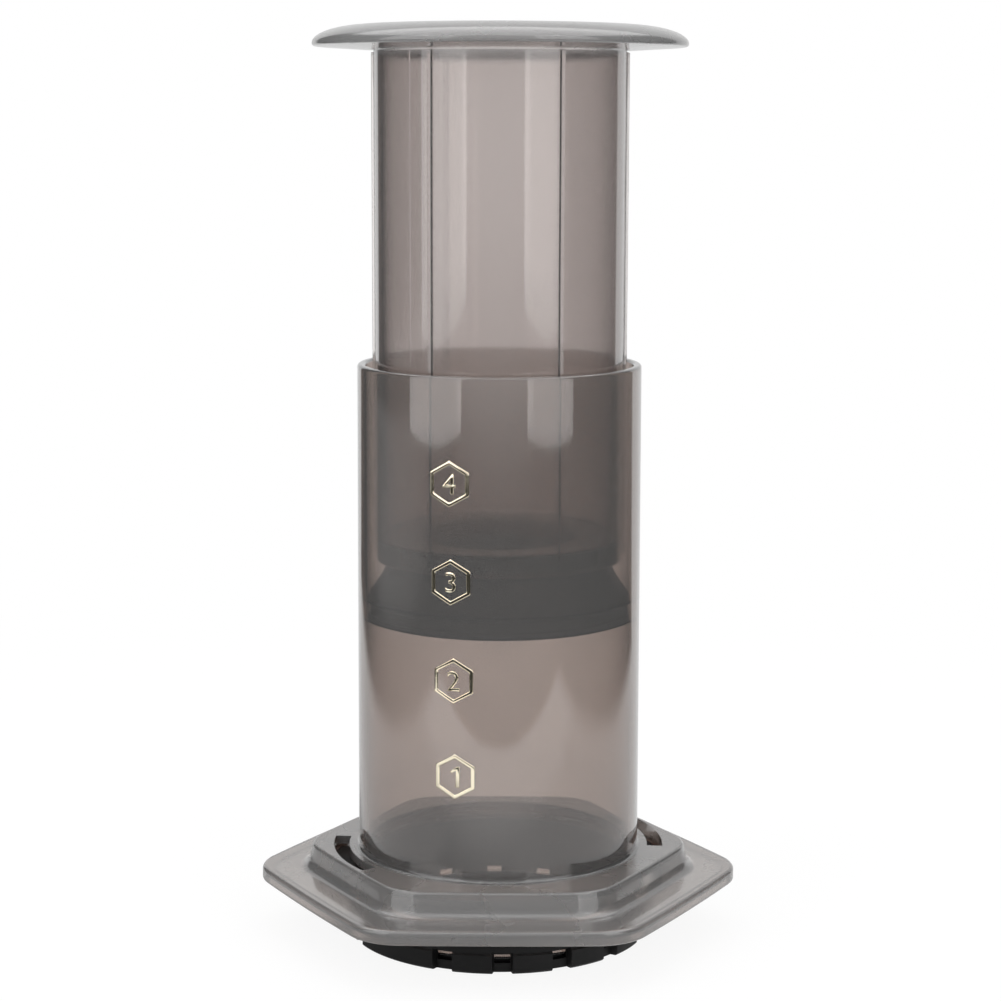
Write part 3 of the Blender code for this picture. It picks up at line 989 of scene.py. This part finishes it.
def hole_places():
    places = [(0.0, 0.0)]
    for ring in range(1, hole_rings + 1):
        places += [around(index * math.pi / (3 * ring), ring * hole_pitch)
                   for index in range(6 * ring)]
    return places


lugs = [prism("lug", ring_piece(cap_bore + lug_root, pocket_radius - gap, lug_start + turn,
                                lug_span), lug_low, lug_high - lug_play)
        for turn in (0.0, math.pi)]
notch_middles = [notch_phase + index * notch_pitch for index in range(notch_count)
                 if index not in wide_grips]
windows = [prism("window", radial_box(cap_foot_inner, grip_radius, window_width, angle),
                 plate_top - window_depth, grip_height - window_lintel)
           for angle in notch_middles]
holes = [prism("hole", circle(place, hole_radius, hole_sides), plate_raise - overrun,
               plate_top + overrun) for place in hole_places()]
boolean(cap, joined("lugs", lugs), "UNION")
boolean(cap, joined("windows", windows), "DIFFERENCE")
boolean(cap, joined("holes", holes), "DIFFERENCE")
smooth(cap)
dress(cap, "cap_shell", black_plastic, "filter_cap")
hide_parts("filter_cap")

# %% [markdown]
# The mesh disc lies loose on the cap's plate. Its rim is pressed flat and slightly rounded, as
# a stamped disc's is, so it is turned with a soft edge and not left as a bare cylinder.

# %% Filter disc
mesh_border = 1.2 * MM
border_slope = 0.2 * MM
border_raise = 0.06 * MM


def make_filter_disc():
    low = mesh_low.z
    high = mesh_high.z
    edge = (high - low) / 2
    radius = mesh_high.x
    woven = radius - mesh_border
    profile = [(0.0, high - border_raise), (woven, high - border_raise),
               (woven + border_slope, high)]
    profile += arc((radius - edge, (low + high) / 2), edge, quarter, -quarter, 6)
    profile += [(woven + border_slope, low), (woven, low + border_raise),
                (0.0, low + border_raise)]
    return turned("mesh_disc", profile)


filter_disc = make_filter_disc()
smooth(filter_disc, 35, weighted=False)
dress(filter_disc, "filter_mesh", steel_mesh, "filter_cap")
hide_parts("filter_disc")

# %% [markdown]
# Four marks are stamped on the tube, one figure in a six-sided outline for each measure. We
# draw each mark flat first. The outline is a strip with a bevelled cross-section, taken round
# the six corners in short quads, because only short pieces can follow the tube's curve later.

# %% Outline of a mark
mark_width = 9.0 * MM
mark_height = 10.3 * MM
mark_line = 0.9 * MM
foil_height = 0.16 * MM
foil_bevel = 0.2 * MM
foil_root = 0.03 * MM
point_stretch = 1.15
pieces_to_a_side = 10
mark_corners = ((0.0, 0.5), (0.5, 0.25), (0.5, -0.25), (0.0, -0.5), (-0.5, -0.25),
                (-0.5, 0.25))


def outline_loop(body, grow, height):
    """One loop of points round the outline, moved outwards by grow."""
    wide = mark_width - mark_line + 2 * grow
    tall = mark_height - point_stretch * (mark_line - 2 * grow)
    loop = []
    for (x, y), (next_x, next_y) in zip(mark_corners, mark_corners[1:] + mark_corners[:1]):
        for index in range(pieces_to_a_side):
            share = index / pieces_to_a_side
            loop.append(body.verts.new(((x + (next_x - x) * share) * wide,
                                        (y + (next_y - y) * share) * tall, height)))
    return loop


def outline_frame(name):
    """A six-sided line with pointed top and foot, as a strip of short bevelled quads."""
    flat = mark_line / 2 - foil_bevel
    cross = [(mark_line / 2, -foil_root)]
    for side, start in ((1, 0.0), (-1, quarter)):
        cross += [(side * (flat + foil_bevel * x), foil_height * z)
                  for x, z in arc((0.0, 0.0), 1.0, start, quarter - start, 6)]
    cross.append((-mark_line / 2, -foil_root))
    body = bmesh.new()
    loops = [outline_loop(body, grow, height) for grow, height in cross]
    for one, other in zip(loops, loops[1:] + loops[:1]):
        skin(body, one, other)
    return from_bmesh(name, body)


print("an outline is", mark_width / MM, "by", mark_height / MM, "mm")

# %% [markdown]
# The figures are curves, which Blender can fill and bevel by itself. Its own plain font gives
# two, three and four. The one is drawn from listed points, as a bare stroke with a slanting
# flag. A bevel makes a curve fatter by its depth, and a negative offset takes that back.

# %% Figures
figure_bevel = 0.12 * MM
figure_weight = 0.08 * MM
figure_height = 4.6 * MM
figure_core = 0.01 * MM
font_share = 0.73
weld_distance = 0.002 * MM
one_outline = ((0.78, -2.3), (0.78, 2.3), (0.22, 2.3), (-1.22, 1.22), (-0.9, 0.78),
               (0.05, 1.48), (0.05, -2.3))


def one_curve(name):
    """The figure one, with its flag, as a filled outline."""
    curve = bpy.data.curves.new(name, "CURVE")
    curve.dimensions = "2D"
    curve.fill_mode = "BOTH"
    line = curve.splines.new("POLY")
    line.points.add(len(one_outline) - 1)
    for point, (x, y) in zip(line.points, one_outline):
        point.co = (x * MM, y * MM, 0.0, 1.0)
    line.use_cyclic_u = True
    return curve


def text_curve(name, value):
    text = bpy.data.curves.new(name, "FONT")
    text.body = str(value)
    text.size = figure_height / font_share
    text.resolution_u = 6
    return text


def figure(name, value):
    """One figure as a filled, bevelled outline, with its middle at the origin."""
    curve = one_curve(name) if value == 1 else text_curve(name, value)
    curve.extrude = figure_core
    curve.bevel_depth = figure_bevel
    curve.bevel_resolution = 3
    curve.offset = figure_weight - figure_bevel
    letter = link(name, curve)
    bpy.context.view_layer.update()
    mesh = bpy.data.meshes.new_from_object(letter.evaluated_get(
        bpy.context.evaluated_depsgraph_get()))
    bpy.data.objects.remove(letter, do_unlink=True)
    xs = [vertex.co.x for vertex in mesh.vertices]
    ys = [vertex.co.y for vertex in mesh.vertices]
    mesh.transform(Matrix.Translation((-(min(xs) + max(xs)) / 2, -(min(ys) + max(ys)) / 2,
                                       foil_height - figure_bevel)))
    body = bmesh.new()
    body.from_mesh(mesh)
    bmesh.ops.remove_doubles(body, verts=body.verts, dist=weld_distance)
    return from_bmesh(name, body, closed=False)


print("a figure is", figure_height / MM, "mm high")

# %% [markdown]
# Now each mark is wrapped: a point's way along becomes an angle, and its height is added to
# the tube's radius there. A shrinkwrap modifier would do it too, but it would flatten the
# bevel, and this little sum keeps every height.

# %% Marks on the tube
mark_places = ((1, 44.1 * MM, -107.2), (2, 65.7 * MM, -107.8), (3, 87.7 * MM, -109.0),
               (4, 109.4 * MM, -109.6))


def tube_reach(level):
    """Outer radius of the tube at a level: it widens a little towards its foot."""
    share = (rim_level - level) / (rim_level - step_top)
    return rim_radius + draft * min(max(share, 0.0), 1.0)


def wrap(obj, level, angle):
    """Bends a flat mark round the tube, at a level and an angle."""
    for vertex in obj.data.vertices:
        reach = tube_reach(level + vertex.co.y)
        turn = angle + vertex.co.x / reach
        vertex.co = (*around(turn, reach + vertex.co.z), level + vertex.co.y)


for value, level, degrees in mark_places:
    name = "mark_" + str(value)
    mark = joined(name, [outline_frame(name + "_line"), figure(name + "_figure", value)])
    wrap(mark, level, math.radians(degrees))
    smooth(mark, 50, weighted=False)
    dress(mark, name, gold_foil, "chamber")

# %% [markdown]
# The stage is a pale floor and a white room. Glossy plastic shows what stands round it, so
# the camera, and all that is seen through the plastic, gets plain white, while reflections
# get a room with a shape. For that a shader must know which kind of look it answers. The
# light path node tells it, and a window between two values cuts the shapes.

# %% Seeing and shaping helpers
def window(tree, value, low, high, soft):
    """1 from low to high, 0 outside, with soft edges."""
    opened = ramp(tree, value, 0.0, 1.0, low - soft, low + soft)
    closed = ramp(tree, value, 1.0, 0.0, high - soft, high + soft)
    return calculate(tree, "MULTIPLY", opened, closed)


def seen_as(tree):
    """1 for what is seen directly or through the plastic, and 1 for what is reflected.

    A ray that is bent by clear plastic counts as glossy too, but adds nothing to the glossy
    depth. So the depths tell a straight look through from one that was mirrored inside.
    """
    path = node(tree, "LightPath", {})
    bounces = calculate(tree, "ADD", path["Glossy Depth"], path["Diffuse Depth"])
    straight = calculate(tree, "LESS_THAN", bounces, 0.5)
    through = calculate(tree, "MULTIPLY", path["Is Transmission Ray"], straight)
    background = calculate(tree, "MAXIMUM", path["Is Camera Ray"], through)
    shiny = calculate(tree, "MAXIMUM", path["Is Glossy Ray"], path["Is Transmission Ray"])
    return background, calculate(tree, "SUBTRACT", shiny, through)


# %% [markdown]
# What would a photographer put round this? A white backdrop behind, a pale wall in front, dim
# sides, a white sheet on the floor, and a soft grey card low at the front left. The camera
# looks down a little, so the upright tubes mirror the floor and the flange's flat top mirrors
# the backdrop. So we draw these things as shapes of light, by place in metres and by angle,
# for the floor and for the world. The sheet ends in front of the maker, and close to the maker
# it carries a painted shadow: its light is turned down there, as the maker's shadow would.

# %% Shapes of light
backdrop_light = 0.7
backdrop_span = (math.radians(-31.0), math.radians(46.0))
wall_light = 0.75
wall_span = (math.radians(-34.0), math.radians(27.0))
side_light = 0.04
soft_edge = math.radians(2.0)
sheet_sides = (-0.24, 0.24, 0.03)
sheet_front = (0.0, 1.0, -0.238, -0.222)
# The sheet's painted shadow of the maker: how much of its light is left, and where
painted_shadow_front = (1.0, 0.35, -0.17, -0.07)
painted_shadow_left = (0.65, 0.0, -0.09, -0.04)
painted_shadow_right = (0.0, 0.72, -0.03, 0.03)
wall_fade = (wall_light, 0.0, -1.3, -0.55)
card_light = 0.34
card_sides = (0.4, 1.05, 0.08)
card_turn = (math.radians(-115.0), math.radians(-62.0), math.radians(18.0))


def from_front(tree, across, away):
    """The angle to the right, measured from straight in front."""
    return calculate(tree, "ARCTAN2", across, calculate(tree, "MULTIPLY", away, -1.0))


def room_light(tree, across, away, wall_strength):
    """What the backdrop behind and the wall in front give, each between two angles."""
    behind = calculate(tree, "ARCTAN2", across, away)
    before = from_front(tree, across, away)
    backdrop = calculate(tree, "MULTIPLY", backdrop_light,
                         window(tree, behind, *backdrop_span, soft_edge))
    wall_glow = calculate(tree, "MULTIPLY", wall_strength,
                          window(tree, before, *wall_span, soft_edge))
    return calculate(tree, "MAXIMUM", backdrop, wall_glow)


def floor_reflection(tree, across, away):
    """How bright the floor looks in reflections: the sheet and its painted shadow, room and
    card.
    """
    # Painted shadow: close to the maker the sheet's light is turned down, in front and to each
    # side
    painted_shadow_level = calculate(tree, "MAXIMUM", ramp(tree, away, *painted_shadow_front),
                     ramp(tree, across, *painted_shadow_left), ramp(tree, across, *painted_shadow_right))
    sheet = calculate(tree, "MULTIPLY", window(tree, across, *sheet_sides),
                      ramp(tree, away, *sheet_front), painted_shadow_level)
    room = room_light(tree, across, away, ramp(tree, away, *wall_fade))
    leftwards = calculate(tree, "MULTIPLY", across, -1.0)
    card = calculate(tree, "MULTIPLY", window(tree, leftwards, *card_sides), card_light,
                     window(tree, from_front(tree, across, away), *card_turn))
    return calculate(tree, "MAXIMUM", sheet, room, card, side_light)


print("backdrop, wall, card and sides shine with", backdrop_light, wall_light, card_light,
      side_light)

# %% [markdown]
# The floor is a large square. A glow that the camera sees keeps it white, and a little plain
# diffuse white near the maker takes part of that glow's place, which lets the lamps leave a
# faint soft shadow. Other rays find an ordinary pale floor.

# %% Floor
floor_size = 6.0
shadow_share = 0.1
shadow_reach = (0.12, 0.4)
floor_white = 0.8


def make_floor():
    body = bmesh.new()
    bmesh.ops.create_grid(body, x_segments=1, y_segments=1, size=floor_size / 2)
    floor = from_bmesh("floor", body, closed=False)
    finish, tree, shader = new_finish("floor_white")
    tree.nodes.remove(shader)
    background, glossy = seen_as(tree)
    spot = object_place(tree)
    place = node(tree, "SeparateXYZ", {"Vector": spot})
    distance = node(tree, "VectorMath", {0: spot}, operation="LENGTH")["Value"]
    near = ramp(tree, distance, 1.0, 0.0, *shadow_reach)
    shaded = calculate(tree, "MULTIPLY", near, shadow_share)
    white = calculate(tree, "MULTIPLY", background, calculate(tree, "SUBTRACT", 1.0, shaded))
    mirrored = calculate(tree, "MULTIPLY", glossy,
                         floor_reflection(tree, place["X"], place["Y"]))
    lamp = node(tree, "Emission", {"Strength": calculate(tree, "ADD", white, mirrored)})
    unseen = calculate(tree, "SUBTRACT", 1.0, background, glossy)
    paint = calculate(tree, "ADD", calculate(tree, "MULTIPLY", shaded, background),
                      calculate(tree, "MULTIPLY", unseen, floor_white))
    diffuse = node(tree, "BsdfDiffuse", {"Color": grey(tree, paint)})
    both = node(tree, "AddShader", {0: lamp["Emission"], 1: diffuse["BSDF"]})
    feed(tree, tree.nodes["Material Output"], {"Surface": both["Shader"]})
    floor.data.materials.append(finish)
    floor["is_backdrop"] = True
    print("the floor is", floor_size, "m wide")


make_floor()

# %% [markdown]
# The world is the room itself. Its white backdrop ends a little further round on the right
# than on the left, which is why the bright rim of the real tube is wider on that side.

# %% Room
ceiling_light = 0.8
ceiling_start = (0.5, 0.8)
diffuse_light = 0.5


def make_world():
    world = bpy.data.worlds.new("studio")
    bpy.context.scene.world = world
    world.use_nodes = True
    tree = world.node_tree
    background, glossy = seen_as(tree)
    looked = node(tree, "TexCoord", {})["Generated"]
    direction = node(tree, "SeparateXYZ", {"Vector": looked})
    room = calculate(tree, "MAXIMUM",
                     room_light(tree, direction["X"], direction["Y"], wall_light),
                     ramp(tree, direction["Z"], 0.0, ceiling_light, *ceiling_start),
                     side_light)
    plain = calculate(tree, "MAXIMUM", background, diffuse_light)
    mixed = node(tree, "Mix", {"Factor": glossy, "A": plain, "B": room})
    feed(tree, tree.nodes["Background"], {"Strength": mixed["Result"],
                                          "Color": (1.0, 1.0, 1.0, 1.0)})
    print("the room has", len(tree.nodes), "nodes")


make_world()

# %% [markdown]
# Three large soft lamps give the light: two tall ones in front, left and right, and a broad
# one overhead. A lamp's radiance is what a reflection shows, and it is its power over pi times
# its area. So each lamp is stated by its radiance and its size, and the power follows.

# %% Lamps
lamp_foot = 10 * MM
tall_distance = 0.85
tall_height = 1.1
tall_radiance = 1.5
tall_lamps = (("lamp_left", -52.5, 0.70), ("lamp_right", 41.0, 0.585))
overhead_place = Vector((0.0, 0.05, 1.3))
overhead_target = Vector((0.0, 0.05, 0.2))
overhead_size = 2.0
overhead_radiance = 1.1


def soft_lamp(name, place, target, width, height, radiance):
    data = bpy.data.lights.new(name, "AREA")
    data.shape = "RECTANGLE"
    data.size = width
    data.size_y = height
    data.energy = radiance * math.pi * width * height
    lamp = link(name, data)
    lamp.location = place
    lamp.rotation_euler = (target - place).to_track_quat("-Z", "Y").to_euler()
    print(name, "gives", round(data.energy, 2), "W")


for name, degrees, width in tall_lamps:
    azimuth = math.radians(degrees)
    target = Vector((0.0, 0.0, lamp_foot + tall_height / 2))
    outwards = Vector((math.sin(azimuth), -math.cos(azimuth), 0.0))
    soft_lamp(name, target + tall_distance * outwards, target, width, tall_height,
              tall_radiance)
soft_lamp("lamp_overhead", overhead_place, overhead_target, overhead_size, overhead_size,
          overhead_radiance)
bpy.context.scene.view_settings.view_transform = "Standard"

# %% [markdown]
# Last, a measured check. The dressed pieces have to fill the same box as the working solids,
# or one of the two is wrong.

# %% Compare the boxes and finish
dressed_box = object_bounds()
for side, solid, dressed in zip(("low", "high"), cad_box, dressed_box):
    print(side, "moved by", [round((b - a) / MM, 2) for a, b in zip(solid, dressed)], "mm")
